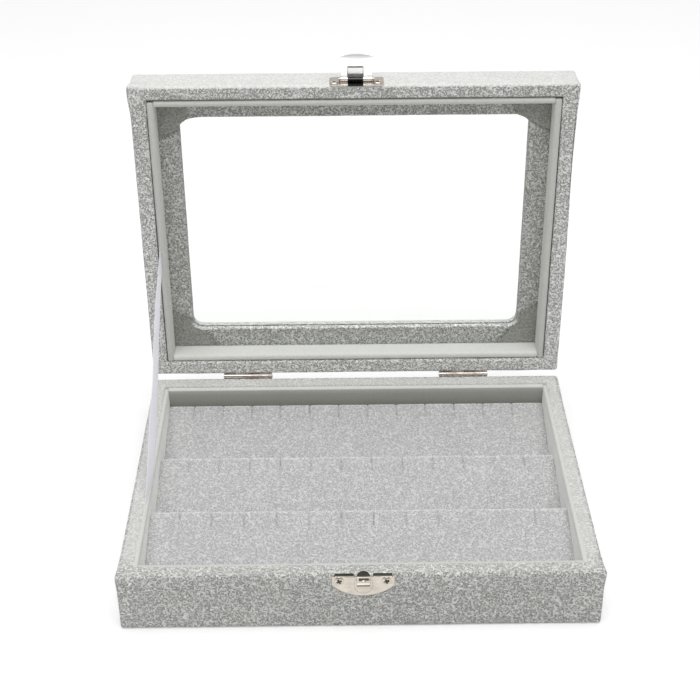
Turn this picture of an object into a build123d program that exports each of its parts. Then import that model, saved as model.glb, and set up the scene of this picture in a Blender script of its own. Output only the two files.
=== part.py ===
from build123d import *
import math
import os

os.makedirs("parts", exist_ok=True)

# Pin display case: a velvet covered box with three slit pads and a hinged lid with a glass window.
# Millimetres. The base stands on z = 0, its middle at x = y = 0, its front toward -Y.
# The lid is modelled where it stands open, square to the base.

# Outside of the case, over the velvet
case_w = 200.0
case_d = 150.0
base_h = 27.4
lid_h = 17.4
part_gap = 0.2
edge_r = 1.2
under_bevel = 0.6

# Velvet wrap and the rims that it makes
velvet_t = 0.8
base_rim = 5.6
back_rim = 8.2
lid_rim = 7.0
base_turn_in = 12.0
hem_w = 3.0
hem_gap = 0.1

# Boards, liners and glass
bottom_board_t = 2.5
top_board_t = 2.2
window_frame_t = 1.6
glass_t = 2.0
glass_edge_gap = 1.8
board_gap = 0.2
board_bevel = 0.8
seam_gap = 0.4
base_liner_t = 2.2
lid_liner_t = 3.1
liner_drop = 0.5
liner_edge_r = 0.9

# Window in the lid
window_w = 160.0
window_d = 111.0
window_shift = 0.8
window_corner_r = 5.0
window_bevel = 0.7

# Display pads
pad_tops = (20.6, 18.1, 18.6)
pad_slope = 14.6
pad_side_gap = 0.25
pad_joint = 0.1
pad_crest_r = 0.9
slit_count = 12
slit_pitch = 14.15
slit_shift = -1.0
slit_w = 0.4
slit_len = 9.0
slit_depth = 5.0

# Hinges
hinge_len = 24.0
hinge_x = 53.3
knuckle_count = 4
knuckle_gap = 0.12
leaf_t = 0.5
leaf_h = 8.0
leaf_bevel = 1.0
knuckle_clear = 0.15
hinge_pin_r = 0.8
hinge_pin_fit = 0.05
hinge_pin_over = 0.1

# Snap clasp: the catch on the base and the flap on the lid
catch_x = 1.0
catch_w = 25.5
catch_t = 0.6
catch_side_drop = 4.4
catch_bow_drop = 10.0
catch_curl_deg = 52.0
catch_curl_gap = 0.02
tongue_w = 6.1
tongue_t = 0.5
tongue_room = 0.25
tongue_low = 3.9
tongue_out = 1.05
tongue_bulge = 2.2
tongue_rise = 2.8
tongue_slot_w = 4.6
tongue_slot_drop = 1.7
tongue_slot_h = 1.5
screw_r = 0.8
screw_fit = 0.1
screw_head_r = 1.9
screw_head_t = 0.8
screw_head_bevel = 0.5
screw_len = 4.6
screw_spread = 9.8
catch_screw_drop = 2.8
clasp_w = 24.1
clasp_t = 0.4
clasp_h0 = 0.1
clasp_h1 = 10.1
clasp_corner_r = 1.5
clasp_screw_h = 3.3
clasp_pin_h = 5.0
clasp_pin_r = 0.35
clasp_pin_fit = 0.05
ear_t = 0.7
ear_gap = 0.15
flap_w = 14.1
flap_len = 11.5
flap_t = 0.4
flap_lift = 0.05
flap_corner_r = 2.6
lip_len = 1.8
lip_out = 0.8
pocket_w = 7.1
pocket_len = 6.4
pocket_deep = 1.9
pocket_mouth = 0.9
pocket_end_slope = 1.4

# Ribbon that stops the lid
ribbon_w = 10.0
ribbon_t = 0.2
ribbon_base_y = -18.6
ribbon_lid_rise = 64.7
ribbon_base_tail = 9.0
ribbon_lid_tail = 5.5
ribbon_entry = 14.0
ribbon_twist = 24.0

# Sizes that follow from the ones above
half_w = case_w / 2
half_d = case_d / 2
board_half_w = half_w - velvet_t
board_half_d = half_d - velvet_t
floor_z = velvet_t + bottom_board_t
wall_top_z = base_h - velvet_t
knuckle_r = hinge_pin_r + hinge_pin_fit + leaf_t
axis_y = half_d + knuckle_r
axis_z = base_h + part_gap / 2
tray_depth = lid_h - velvet_t - top_board_t - glass_t - window_frame_t
glass_h = tray_depth + window_frame_t
top_board_h = glass_h + glass_t

# Each hollow as half width, front and back, in the plan of the base
base_boards = (half_w - base_rim + velvet_t, -half_d + base_rim - velvet_t, half_d - back_rim + velvet_t)
base_hollow = (half_w - base_rim, -half_d + base_rim, half_d - back_rim)
base_liner_out = (half_w - base_rim - seam_gap, -half_d + base_rim + seam_gap, half_d - back_rim - seam_gap)
base_tray = (
    base_liner_out[0] - base_liner_t,
    base_liner_out[1] + base_liner_t,
    base_liner_out[2] - base_liner_t,
)

# The open lid: its rim looks forward and its front wall is on top
# Local x runs to -X, local y from the hinge to the front wall, local z from the rim to the window
lid_rim_y = axis_y + part_gap / 2
lid_low_z = axis_z + knuckle_r
lid_front_z = lid_low_z + case_d
lid_plane = Plane(origin=(0, lid_rim_y, lid_low_z + half_d), x_dir=(-1, 0, 0), z_dir=(0, 1, 0))
lid_boards = (half_w - lid_rim + velvet_t, half_d - lid_rim + velvet_t)
lid_hollow = (half_w - lid_rim, half_d - lid_rim)
lid_liner_out = (half_w - lid_rim - seam_gap, half_d - lid_rim - seam_gap)
lid_tray = (lid_liner_out[0] - lid_liner_t, lid_liner_out[1] - lid_liner_t)


def plan(zone):
    """Rectangle for a hollow given as half width, front and back."""
    with Locations((0, (zone[1] + zone[2]) / 2)):
        Rectangle(2 * zone[0], zone[2] - zone[1])


def cut_to(frame, plane, centre, size, height):
    """One board: the piece of a frame that stands on the given rectangle."""
    with BuildPart() as board:
        add(frame.part)
        with BuildSketch(plane):
            with Locations(centre):
                Rectangle(size[0], size[1])
        extrude(amount=height, mode=Mode.INTERSECT)
    return board


def screws(planes):
    """Screws with bevelled heads, seated on the given planes."""
    along = Axis(planes[0].origin, planes[0].z_dir)
    with BuildPart(*planes) as group:
        Cylinder(screw_r, screw_len, align=(Align.CENTER, Align.CENTER, Align.MAX))
        Cylinder(screw_head_r, screw_head_t, align=(Align.CENTER, Align.CENTER, Align.MIN))
        chamfer(group.faces().group_by(along)[-1].edges(), length=screw_head_bevel)
    return group


# Screws of the catch look forward, those of the clasp look up from the front wall of the open lid
catch_plane = Plane(origin=(catch_x, -half_d, 0), x_dir=(1, 0, 0), z_dir=(0, -1, 0))
clasp_plane = Plane(origin=(catch_x, lid_rim_y, lid_front_z), x_dir=(1, 0, 0), z_dir=(0, 0, 1))
catch_screw_planes = [
    Plane(origin=catch_plane.from_local_coords((dx, base_h - catch_screw_drop, catch_t)), z_dir=catch_plane.z_dir)
    for dx in (-screw_spread, screw_spread)
]
clasp_screw_planes = [
    Plane(origin=clasp_plane.from_local_coords((dx, clasp_screw_h, clasp_t)), z_dir=clasp_plane.z_dir)
    for dx in (-screw_spread, screw_spread)
]
catch_screws = screws(catch_screw_planes)
clasp_screws = screws(clasp_screw_planes)

# Base carcass: four butt joined wall boards on a bottom board
with BuildPart() as base_frame:
    with BuildSketch(Plane.XY.offset(floor_z)):
        Rectangle(2 * board_half_w, 2 * board_half_d)
    extrude(amount=wall_top_z - floor_z)
    chamfer(base_frame.edges().filter_by(Axis.Z), length=board_bevel)
    with BuildSketch(Plane.XY.offset(floor_z)):
        plan(base_boards)
    extrude(amount=wall_top_z - floor_z, mode=Mode.SUBTRACT)
    add(catch_screws.part, mode=Mode.SUBTRACT)

front_board_t = base_rim - 2 * velvet_t
back_board_t = back_rim - 2 * velvet_t
side_board_t = base_rim - 2 * velvet_t
floor_plane = Plane.XY.offset(floor_z)
wall_h = wall_top_z - floor_z
base_wall_front = cut_to(
    base_frame, floor_plane, (0, -board_half_d + front_board_t / 2), (case_w, front_board_t), wall_h
)
base_wall_back = cut_to(
    base_frame, floor_plane, (0, board_half_d - back_board_t / 2), (case_w, back_board_t), wall_h
)
side_mid_y = (base_boards[1] + base_boards[2]) / 2
side_run = base_boards[2] - base_boards[1]
base_wall_left = cut_to(
    base_frame, floor_plane, (-board_half_w + side_board_t / 2, side_mid_y), (side_board_t, side_run), wall_h
)
base_wall_right = cut_to(
    base_frame, floor_plane, (board_half_w - side_board_t / 2, side_mid_y), (side_board_t, side_run), wall_h
)

with BuildPart() as base_bottom_board:
    with BuildSketch(Plane.XY.offset(velvet_t)):
        Rectangle(2 * board_half_w, 2 * board_half_d)
    extrude(amount=bottom_board_t)
    chamfer(base_bottom_board.edges().filter_by(Axis.Z), length=board_bevel)

# Velvet wrap of the base: over the rim, down inside the walls and in under the bottom board
with BuildPart() as base_velvet:
    with BuildSketch():
        Rectangle(case_w, case_d)
    extrude(amount=base_h)
    fillet(base_velvet.edges().filter_by(Axis.Z), radius=edge_r)
    fillet(base_velvet.faces().sort_by(Axis.Z)[-1].edges(), radius=edge_r)
    chamfer(base_velvet.faces().sort_by(Axis.Z)[0].edges(), length=under_bevel)
    with BuildSketch():
        Rectangle(2 * (board_half_w - hem_w), 2 * (board_half_d - hem_w))
    extrude(amount=velvet_t, mode=Mode.SUBTRACT)
    add(base_bottom_board.part, mode=Mode.SUBTRACT)
    add(base_frame.part, mode=Mode.SUBTRACT)
    with BuildSketch(Plane.XY.offset(floor_z)):
        plan(base_boards)
    extrude(amount=base_h - base_turn_in - floor_z, mode=Mode.SUBTRACT)
    with BuildSketch(Plane.XY.offset(base_h - base_turn_in)):
        plan(base_hollow)
    extrude(amount=base_turn_in, mode=Mode.SUBTRACT)
    add(catch_screws.part, mode=Mode.SUBTRACT)

with BuildPart() as underside_felt:
    with BuildSketch():
        Rectangle(2 * (board_half_w - hem_w - hem_gap), 2 * (board_half_d - hem_w - hem_gap))
    extrude(amount=velvet_t)

# Velour liners that line the base; they stop just below the rim
liner_h = base_h - liner_drop - floor_z
liner_mid_y = (base_liner_out[1] + base_liner_out[2]) / 2
liner_run = base_liner_out[2] - base_liner_out[1]


def liner(plane, centre, size, height, top):
    """Upright strip with its long top edges rounded; top is +1 or -1 along the plane's normal."""
    up = Axis(plane.origin, plane.z_dir * top)
    along = Axis(plane.origin, plane.x_dir if size[0] > size[1] else plane.y_dir)
    with BuildPart() as strip:
        with BuildSketch(plane):
            with Locations(centre):
                Rectangle(size[0], size[1])
        extrude(amount=height)
        fillet(strip.edges().filter_by(along).group_by(up)[-1], radius=liner_edge_r)
    return strip


base_liner_left = liner(
    floor_plane, (-base_liner_out[0] + base_liner_t / 2, liner_mid_y), (base_liner_t, liner_run), liner_h, 1
)
base_liner_right = liner(
    floor_plane, (base_liner_out[0] - base_liner_t / 2, liner_mid_y), (base_liner_t, liner_run), liner_h, 1
)
base_liner_front = liner(
    floor_plane, (0, base_liner_out[1] + base_liner_t / 2), (2 * base_tray[0], base_liner_t), liner_h, 1
)
base_liner_back = liner(
    floor_plane, (0, base_liner_out[2] - base_liner_t / 2), (2 * base_tray[0], base_liner_t), liner_h, 1
)

# Display pads: sloping foam wedges under velvet, each with a row of slits over its crest
pad_pitch = (base_tray[2] - base_tray[1] - pad_joint) / len(pad_tops)
pad_half_len = base_tray[0] - pad_side_gap
slope_tan = math.tan(math.radians(pad_slope))
slope_cos = math.cos(math.radians(pad_slope))
slit_xs = [slit_shift + (i - (slit_count - 1) / 2) * slit_pitch for i in range(slit_count)]


def pad_points(back_y, top_z, inset):
    """Wedge section in (y, z), drawn in by the inset all round but not below."""
    back = back_y - inset
    front = back_y - pad_pitch + pad_joint + inset
    top = top_z - inset * slope_tan - inset / slope_cos
    low = top - (back - front) * slope_tan
    return [(back, floor_z), (back, top), (front, low), (front, floor_z)]


def wedge(back_y, top_z, inset, half_len):
    """Solid wedge, with a rounded crest outside and a bevelled one inside the cover."""
    with BuildPart() as body:
        with BuildSketch(Plane.YZ):
            with BuildLine():
                Polyline(*pad_points(back_y, top_z, inset), close=True)
            make_face()
        extrude(amount=half_len, both=True)
        crest = body.edges().filter_by(Axis.X).sort_by(Axis.Z)[-1]
        if inset:
            chamfer(crest, length=pad_crest_r - inset)
        else:
            fillet(crest, radius=pad_crest_r)
    return body


def slits(back_y, top_z):
    """Cutter for the row of slits."""
    with BuildPart() as cutter:
        with BuildSketch(*[Plane.YZ.offset(x) for x in slit_xs]):
            with Locations((back_y + slit_w, top_z + slit_w)):
                Rectangle(slit_len + slit_w, slit_depth + slit_w, align=(Align.MAX, Align.MAX))
        extrude(amount=slit_w / 2, both=True)
    return cutter


def pad_core(row):
    """Foam core of one pad."""
    back_y = base_tray[1] + (row + 1) * pad_pitch
    core = wedge(back_y, pad_tops[row], velvet_t, pad_half_len - velvet_t)
    with BuildPart() as body:
        add(core.part)
        add(slits(back_y, pad_tops[row]).part, mode=Mode.SUBTRACT)
    return body


def pad_cover(row):
    """Velvet cover of one pad, open below."""
    back_y = base_tray[1] + (row + 1) * pad_pitch
    outer = wedge(back_y, pad_tops[row], 0, pad_half_len)
    core = wedge(back_y, pad_tops[row], velvet_t, pad_half_len - velvet_t)
    with BuildPart() as body:
        add(outer.part)
        add(core.part, mode=Mode.SUBTRACT)
        add(slits(back_y, pad_tops[row]).part, mode=Mode.SUBTRACT)
    return body


pad_core_front = pad_core(0)
pad_core_middle = pad_core(1)
pad_core_back = pad_core(2)
pad_cover_front = pad_cover(0)
pad_cover_middle = pad_cover(1)
pad_cover_back = pad_cover(2)

# Lid carcass: four butt joined wall boards under a top board with the window
lid_wall_plane = lid_plane.offset(velvet_t)
lid_wall_h = top_board_h - velvet_t
with BuildPart() as lid_frame:
    with BuildSketch(lid_wall_plane):
        Rectangle(2 * board_half_w, 2 * board_half_d)
    extrude(amount=lid_wall_h)
    chamfer(lid_frame.edges().filter_by(Axis.Y), length=board_bevel)
    with BuildSketch(lid_wall_plane):
        Rectangle(2 * lid_boards[0], 2 * lid_boards[1])
    extrude(amount=lid_wall_h, mode=Mode.SUBTRACT)
    add(clasp_screws.part, mode=Mode.SUBTRACT)

lid_board_t = lid_rim - 2 * velvet_t
lid_wall_front = cut_to(
    lid_frame, lid_wall_plane, (0, board_half_d - lid_board_t / 2), (case_w, lid_board_t), lid_wall_h
)
lid_wall_back = cut_to(
    lid_frame, lid_wall_plane, (0, -board_half_d + lid_board_t / 2), (case_w, lid_board_t), lid_wall_h
)
lid_wall_left = cut_to(
    lid_frame, lid_wall_plane, (board_half_w - lid_board_t / 2, 0), (lid_board_t, 2 * lid_boards[1]), lid_wall_h
)
lid_wall_right = cut_to(
    lid_frame, lid_wall_plane, (-board_half_w + lid_board_t / 2, 0), (lid_board_t, 2 * lid_boards[1]), lid_wall_h
)

with BuildPart() as lid_top_board:
    with BuildSketch(lid_plane.offset(top_board_h)):
        Rectangle(2 * board_half_w, 2 * board_half_d)
    extrude(amount=top_board_t)
    chamfer(lid_top_board.edges().filter_by(Axis.Y), length=board_bevel)
    with BuildSketch(lid_plane.offset(top_board_h)):
        with Locations((0, window_shift)):
            RectangleRounded(window_w + 2 * velvet_t, window_d + 2 * velvet_t, window_corner_r + velvet_t)
    extrude(amount=top_board_t, mode=Mode.SUBTRACT)

# Velvet wrap of the lid: over the rim, down inside the walls and round the edge of the window
with BuildPart() as lid_velvet:
    with BuildSketch(lid_plane):
        Rectangle(case_w, case_d)
    extrude(amount=lid_h)
    fillet(lid_velvet.edges().filter_by(Axis.Y), radius=edge_r)
    fillet(lid_velvet.faces().sort_by(Axis.Y)[-1].edges(), radius=edge_r)
    fillet(lid_velvet.faces().sort_by(Axis.Y)[0].edges(), radius=edge_r)
    with BuildSketch(lid_plane):
        with Locations((0, window_shift)):
            RectangleRounded(window_w, window_d, window_corner_r)
    extrude(amount=lid_h, mode=Mode.SUBTRACT)
    chamfer(lid_velvet.faces().sort_by(Axis.Y)[-1].inner_wires().edges(), length=window_bevel)
    add(lid_top_board.part, mode=Mode.SUBTRACT)
    add(lid_frame.part, mode=Mode.SUBTRACT)
    with BuildSketch(lid_plane.offset(tray_depth - board_gap)):
        Rectangle(2 * lid_boards[0], 2 * lid_boards[1])
    extrude(amount=top_board_h - tray_depth + board_gap, mode=Mode.SUBTRACT)
    with BuildSketch(lid_plane):
        Rectangle(2 * lid_hollow[0], 2 * lid_hollow[1])
    extrude(amount=tray_depth, mode=Mode.SUBTRACT)
    add(clasp_screws.part, mode=Mode.SUBTRACT)

# Velvet covered board that holds the glass against the top board
with BuildPart() as window_frame:
    with BuildSketch(lid_plane.offset(tray_depth)):
        Rectangle(2 * (lid_boards[0] - board_gap), 2 * (lid_boards[1] - board_gap))
        with Locations((0, window_shift)):
            RectangleRounded(window_w, window_d, window_corner_r, mode=Mode.SUBTRACT)
    extrude(amount=window_frame_t)
    chamfer(window_frame.faces().sort_by(Axis.Y)[0].inner_wires().edges(), length=window_bevel)

with BuildPart() as window_glass:
    with BuildSketch(lid_plane.offset(glass_h)):
        Rectangle(2 * (lid_boards[0] - glass_edge_gap), 2 * (lid_boards[1] - glass_edge_gap))
    extrude(amount=glass_t)

# Velour liners of the lid, between the rim and the window frame
lid_liner_plane = lid_plane.offset(liner_drop)
lid_liner_h = tray_depth - liner_drop
lid_liner_left = liner(
    lid_liner_plane, (lid_liner_out[0] - lid_liner_t / 2, 0), (lid_liner_t, 2 * lid_liner_out[1]), lid_liner_h, -1
)
lid_liner_right = liner(
    lid_liner_plane, (-lid_liner_out[0] + lid_liner_t / 2, 0), (lid_liner_t, 2 * lid_liner_out[1]), lid_liner_h, -1
)
lid_liner_front = liner(
    lid_liner_plane, (0, lid_liner_out[1] - lid_liner_t / 2), (2 * lid_tray[0], lid_liner_t), lid_liner_h, -1
)
lid_liner_back = liner(
    lid_liner_plane, (0, -lid_liner_out[1] + lid_liner_t / 2), (2 * lid_tray[0], lid_liner_t), lid_liner_h, -1
)

# Hinge planes: origin on the axis line at the case wall, z away from the case, y away from the axis
base_leaf_planes = [
    Plane(origin=(x, half_d, axis_z), x_dir=(1, 0, 0), z_dir=(0, 1, 0)) for x in (-hinge_x, hinge_x)
]
lid_leaf_planes = [
    Plane(origin=(x, axis_y, lid_low_z), x_dir=(-1, 0, 0), z_dir=(0, 0, -1)) for x in (-hinge_x, hinge_x)
]

# Hinge leaves: a flat leaf whose rolled knuckles stand between those of the other leaf
knuckle_step = hinge_len / knuckle_count
knuckle_mids = [(i + 0.5) * knuckle_step - hinge_len / 2 for i in range(knuckle_count)]


def hinge_leaf(plane):
    """Leaf with every second knuckle; both leaves of a hinge have the same shape."""
    with BuildPart(plane) as leaf:
        with BuildSketch(plane):
            Rectangle(hinge_len - knuckle_gap, leaf_h, align=(Align.CENTER, Align.MIN))
        extrude(amount=leaf_t)
        corners = leaf.edges().filter_by(Axis(plane.origin, plane.z_dir))
        chamfer(corners.group_by(Axis(plane.origin, plane.y_dir))[-1], length=leaf_bevel)
        with Locations(*[(x, 0, knuckle_r) for x in knuckle_mids[0::2]]):
            Cylinder(
                knuckle_r + knuckle_clear,
                knuckle_step + knuckle_gap,
                rotation=(0, 90, 0),
                mode=Mode.SUBTRACT,
            )
        with Locations(*[(x, 0, knuckle_r) for x in knuckle_mids[1::2]]):
            Cylinder(knuckle_r, knuckle_step - knuckle_gap, rotation=(0, 90, 0))
        with Locations((0, 0, knuckle_r)):
            Cylinder(hinge_pin_r + hinge_pin_fit, hinge_len, rotation=(0, 90, 0), mode=Mode.SUBTRACT)
    return leaf


def hinge_pin(x):
    """Pin through the knuckles of one hinge."""
    with BuildPart(Plane(origin=(x, axis_y, axis_z), z_dir=(1, 0, 0))) as pin:
        Cylinder(hinge_pin_r, hinge_len + 2 * hinge_pin_over)
    return pin


hinge_base_leaf_left = hinge_leaf(base_leaf_planes[0])
hinge_base_leaf_right = hinge_leaf(base_leaf_planes[1])
hinge_lid_leaf_left = hinge_leaf(lid_leaf_planes[0])
hinge_lid_leaf_right = hinge_leaf(lid_leaf_planes[1])
hinge_pin_left = hinge_pin(-hinge_x)
hinge_pin_right = hinge_pin(hinge_x)

# Catch: a pressed plate whose top is rolled over the rim on both sides of a bulging tongue
catch_flat_z = base_h - edge_r
tongue_foot_z = catch_flat_z - tongue_low + tongue_room
tongue_neck_z = base_h - tongue_room
tongue_top_z = base_h + tongue_rise
curl_in_r = edge_r + catch_curl_gap
curl_rad = math.radians(catch_curl_deg)
curl_side = catch_w / 2 - tongue_w / 2 - tongue_room
curl_mid = (catch_w / 2 + tongue_w / 2 + tongue_room) / 2
side_plane = Plane(origin=(catch_x, -half_d, 0), x_dir=(0, -1, 0), z_dir=(-1, 0, 0))


def curl_point(radius, turn):
    """Point on the roll round the rim edge, as (out from the wall, up)."""
    return (radius * math.cos(turn) - edge_r, catch_flat_z + radius * math.sin(turn))


catch_side_z = base_h - catch_side_drop

# Tongue of the catch, bent out of the plate: a low step with a slot, and a bulge over the rim
with BuildPart() as tongue:
    with BuildSketch(side_plane):
        with BuildLine():
            Polyline(
                (catch_t / 2, tongue_foot_z - 2 * tongue_room),
                (catch_t / 2, tongue_foot_z - tongue_room),
                (tongue_out, tongue_foot_z),
                (tongue_out, tongue_neck_z),
            )
            ThreePointArc(
                (tongue_out, tongue_neck_z),
                (tongue_bulge, tongue_neck_z + tongue_rise / 2),
                (tongue_out + tongue_t / 2, tongue_top_z - tongue_t / 2),
            )
        trace(line_width=tongue_t)
    extrude(amount=tongue_w / 2, both=True)
    with BuildSketch(catch_plane):
        with Locations((0, tongue_foot_z - 2 * tongue_room)):
            Rectangle(
                tongue_w,
                tongue_top_z - tongue_foot_z + 2 * tongue_room - tongue_w / 2,
                align=(Align.CENTER, Align.MIN),
            )
        with Locations((0, tongue_top_z - tongue_w / 2)):
            Circle(tongue_w / 2)
    extrude(amount=case_d, both=True, mode=Mode.INTERSECT)
    with BuildSketch(catch_plane):
        with Locations((0, base_h - tongue_slot_drop)):
            Rectangle(tongue_slot_w, tongue_slot_h)
    extrude(amount=case_d, both=True, mode=Mode.SUBTRACT)

with BuildPart() as catch_plate:
    with BuildSketch(catch_plane):
        with BuildLine():
            Polyline(
                (-catch_w / 2, catch_side_z),
                (-catch_w / 2, catch_flat_z),
                (catch_w / 2, catch_flat_z),
                (catch_w / 2, catch_side_z),
            )
            ThreePointArc((catch_w / 2, catch_side_z), (0, base_h - catch_bow_drop), (-catch_w / 2, catch_side_z))
        make_face()
        with Locations((-screw_spread, base_h - catch_screw_drop), (screw_spread, base_h - catch_screw_drop)):
            Circle(screw_r + screw_fit, mode=Mode.SUBTRACT)
        with Locations((0, catch_flat_z)):
            Rectangle(
                tongue_w + 2 * tongue_room,
                tongue_low - tongue_room,
                align=(Align.CENTER, Align.MAX),
                mode=Mode.SUBTRACT,
            )
    extrude(amount=catch_t)
    with BuildSketch(side_plane.offset(curl_mid), side_plane.offset(-curl_mid)):
        with BuildLine():
            Line(curl_point(curl_in_r, 0), curl_point(edge_r + catch_t, 0))
            ThreePointArc(
                curl_point(edge_r + catch_t, 0),
                curl_point(edge_r + catch_t, curl_rad / 2),
                curl_point(edge_r + catch_t, curl_rad),
            )
            Line(curl_point(edge_r + catch_t, curl_rad), curl_point(curl_in_r, curl_rad))
            ThreePointArc(
                curl_point(curl_in_r, curl_rad), curl_point(curl_in_r, curl_rad / 2), curl_point(curl_in_r, 0)
            )
        make_face()
    extrude(amount=curl_side / 2, both=True)
    add(tongue.part)

# Clasp plate on the lid, with two ears that hold the pin of the flap
clasp_knuckle_r = clasp_pin_r + clasp_pin_fit + flap_t
clasp_pin_out = clasp_t + flap_lift + clasp_knuckle_r
pin_y = lid_rim_y + clasp_pin_h
pin_z = lid_front_z + clasp_pin_out
ear_mid = flap_w / 2 + ear_gap + ear_t / 2
pin_plane = Plane(origin=(catch_x, pin_y, pin_z), z_dir=(1, 0, 0), x_dir=(0, 1, 0))
with BuildPart() as clasp_plate:
    with BuildSketch(clasp_plane):
        with Locations((0, (clasp_h0 + clasp_h1) / 2)):
            RectangleRounded(clasp_w, clasp_h1 - clasp_h0, clasp_corner_r)
        with Locations((-screw_spread, clasp_screw_h), (screw_spread, clasp_screw_h)):
            Circle(screw_r + screw_fit, mode=Mode.SUBTRACT)
    extrude(amount=clasp_t)
    with BuildSketch(pin_plane.offset(ear_mid), pin_plane.offset(-ear_mid)):
        Circle(clasp_knuckle_r)
        Rectangle(2 * clasp_knuckle_r, clasp_pin_out, align=(Align.CENTER, Align.MAX))
        Circle(clasp_pin_r, mode=Mode.SUBTRACT)
    extrude(amount=ear_t / 2, both=True)

with BuildPart(pin_plane) as clasp_pin:
    Cylinder(clasp_pin_r, 2 * ear_mid + ear_t)

# Flap: a bent sheet with two rolled knuckles and a pocket that closes over the tongue
blade_off = clasp_knuckle_r - flap_t / 2
pocket_top = clasp_knuckle_r + pocket_deep
flap_face = Plane(origin=(catch_x, pin_y, pin_z), x_dir=(-1, 0, 0), z_dir=(0, 1, 0))
arm_w = (flap_w - pocket_w) / 2 - flap_t
arm_mid = (flap_w - arm_w) / 2
with BuildPart() as flap_blade:
    with BuildSketch(pin_plane):
        with BuildLine():
            Line((blade_off, 0), (blade_off, flap_len - lip_len))
            TangentArc(
                (blade_off, flap_len - lip_len), (blade_off + lip_out, flap_len - flap_t / 2), tangent=(0, 1)
            )
        trace(line_width=flap_t)
    extrude(amount=flap_w / 2, both=True)
    with BuildSketch(flap_face) as flap_outline:
        Rectangle(flap_w, flap_len, align=(Align.CENTER, Align.MIN))
        fillet(flap_outline.vertices().group_by(Axis.Y)[-1], radius=flap_corner_r)
    extrude(amount=case_d, both=True, mode=Mode.INTERSECT)

with BuildPart() as flap_pocket:
    with BuildSketch(pin_plane):
        with BuildLine():
            Polyline(
                (blade_off, pocket_mouth),
                (pocket_top, pocket_mouth),
                (pocket_top, pocket_len - pocket_end_slope),
                (blade_off, pocket_len + flap_t),
                close=True,
            )
        make_face()
    extrude(amount=pocket_w / 2 + flap_t, both=True)
    fillet(flap_pocket.faces().sort_by(Axis.Y)[-1].edges().filter_by(Axis.Z), radius=flap_t)

with BuildPart() as clasp_flap:
    add(flap_blade.part)
    add(flap_pocket.part)
    with BuildSketch(pin_plane):
        with BuildLine():
            Polyline(
                (blade_off - flap_t, -pocket_mouth),
                (pocket_top - flap_t, -pocket_mouth),
                (pocket_top - flap_t, pocket_len - pocket_end_slope),
                (blade_off - flap_t, pocket_len),
                close=True,
            )
        make_face()
    extrude(amount=pocket_w / 2, both=True, mode=Mode.SUBTRACT)
    with BuildSketch(pin_plane.offset(arm_mid), pin_plane.offset(-arm_mid)):
        Circle(clasp_knuckle_r)
    extrude(amount=arm_w / 2, both=True)
    with BuildSketch(pin_plane):
        Circle(clasp_pin_r + clasp_pin_fit)
    extrude(amount=flap_w, both=True, mode=Mode.SUBTRACT)

# Satin ribbon glued into the left seams of base and lid; it runs from seam to seam and turns a little
ribbon_base_x = -(base_hollow[0] - seam_gap / 2)
ribbon_lid_x = -(lid_hollow[0] - seam_gap / 2)
ribbon_run_y = lid_rim_y - ribbon_base_y
ribbon_run_z = lid_low_z + ribbon_lid_rise - base_h
ribbon_run = math.hypot(ribbon_run_y, ribbon_run_z)
ribbon_y_dir = ribbon_run_y / ribbon_run
ribbon_z_dir = ribbon_run_z / ribbon_run


def ribbon_plane(along, x, turn):
    """Plane square to the ribbon at a distance from where it leaves the base rim."""
    face = Plane(
        origin=(x, ribbon_base_y + along * ribbon_y_dir, base_h + along * ribbon_z_dir),
        x_dir=(1, 0, 0),
        z_dir=(0, ribbon_y_dir, ribbon_z_dir),
    )
    return face.rotated((0, 0, turn))


ribbon_mid_x = (ribbon_base_x + ribbon_lid_x) / 2
ribbon_planes = [
    ribbon_plane(-ribbon_base_tail, ribbon_base_x, 0),
    ribbon_plane(ribbon_entry, ribbon_base_x, 0),
    ribbon_plane(ribbon_run / 3, ribbon_mid_x, ribbon_twist),
    ribbon_plane(ribbon_run * 2 / 3, ribbon_mid_x, ribbon_twist / 2),
    ribbon_plane(ribbon_run - ribbon_entry, ribbon_lid_x, 0),
    ribbon_plane(ribbon_run + ribbon_lid_tail, ribbon_lid_x, 0),
]
with BuildPart() as ribbon:
    for ribbon_section in ribbon_planes:
        with BuildSketch(ribbon_section):
            Rectangle(ribbon_t, ribbon_w)
    loft(ruled=True)

pieces = {
    "base_wall_front": base_wall_front,
    "base_wall_back": base_wall_back,
    "base_wall_left": base_wall_left,
    "base_wall_right": base_wall_right,
    "base_bottom_board": base_bottom_board,
    "base_velvet": base_velvet,
    "underside_felt": underside_felt,
    "base_liner_front": base_liner_front,
    "base_liner_back": base_liner_back,
    "base_liner_left": base_liner_left,
    "base_liner_right": base_liner_right,
    "pad_core_front": pad_core_front,
    "pad_core_middle": pad_core_middle,
    "pad_core_back": pad_core_back,
    "pad_cover_front": pad_cover_front,
    "pad_cover_middle": pad_cover_middle,
    "pad_cover_back": pad_cover_back,
    "lid_wall_front": lid_wall_front,
    "lid_wall_back": lid_wall_back,
    "lid_wall_left": lid_wall_left,
    "lid_wall_right": lid_wall_right,
    "lid_top_board": lid_top_board,
    "lid_velvet": lid_velvet,
    "window_frame": window_frame,
    "window_glass": window_glass,
    "lid_liner_front": lid_liner_front,
    "lid_liner_back": lid_liner_back,
    "lid_liner_left": lid_liner_left,
    "lid_liner_right": lid_liner_right,
    "hinge_base_leaf_left": hinge_base_leaf_left,
    "hinge_base_leaf_right": hinge_base_leaf_right,
    "hinge_lid_leaf_left": hinge_lid_leaf_left,
    "hinge_lid_leaf_right": hinge_lid_leaf_right,
    "hinge_pin_left": hinge_pin_left,
    "hinge_pin_right": hinge_pin_right,
    "catch_plate": catch_plate,
    "catch_screws": catch_screws,
    "clasp_plate": clasp_plate,
    "clasp_screws": clasp_screws,
    "clasp_pin": clasp_pin,
    "clasp_flap": clasp_flap,
    "ribbon": ribbon,
}
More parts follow.
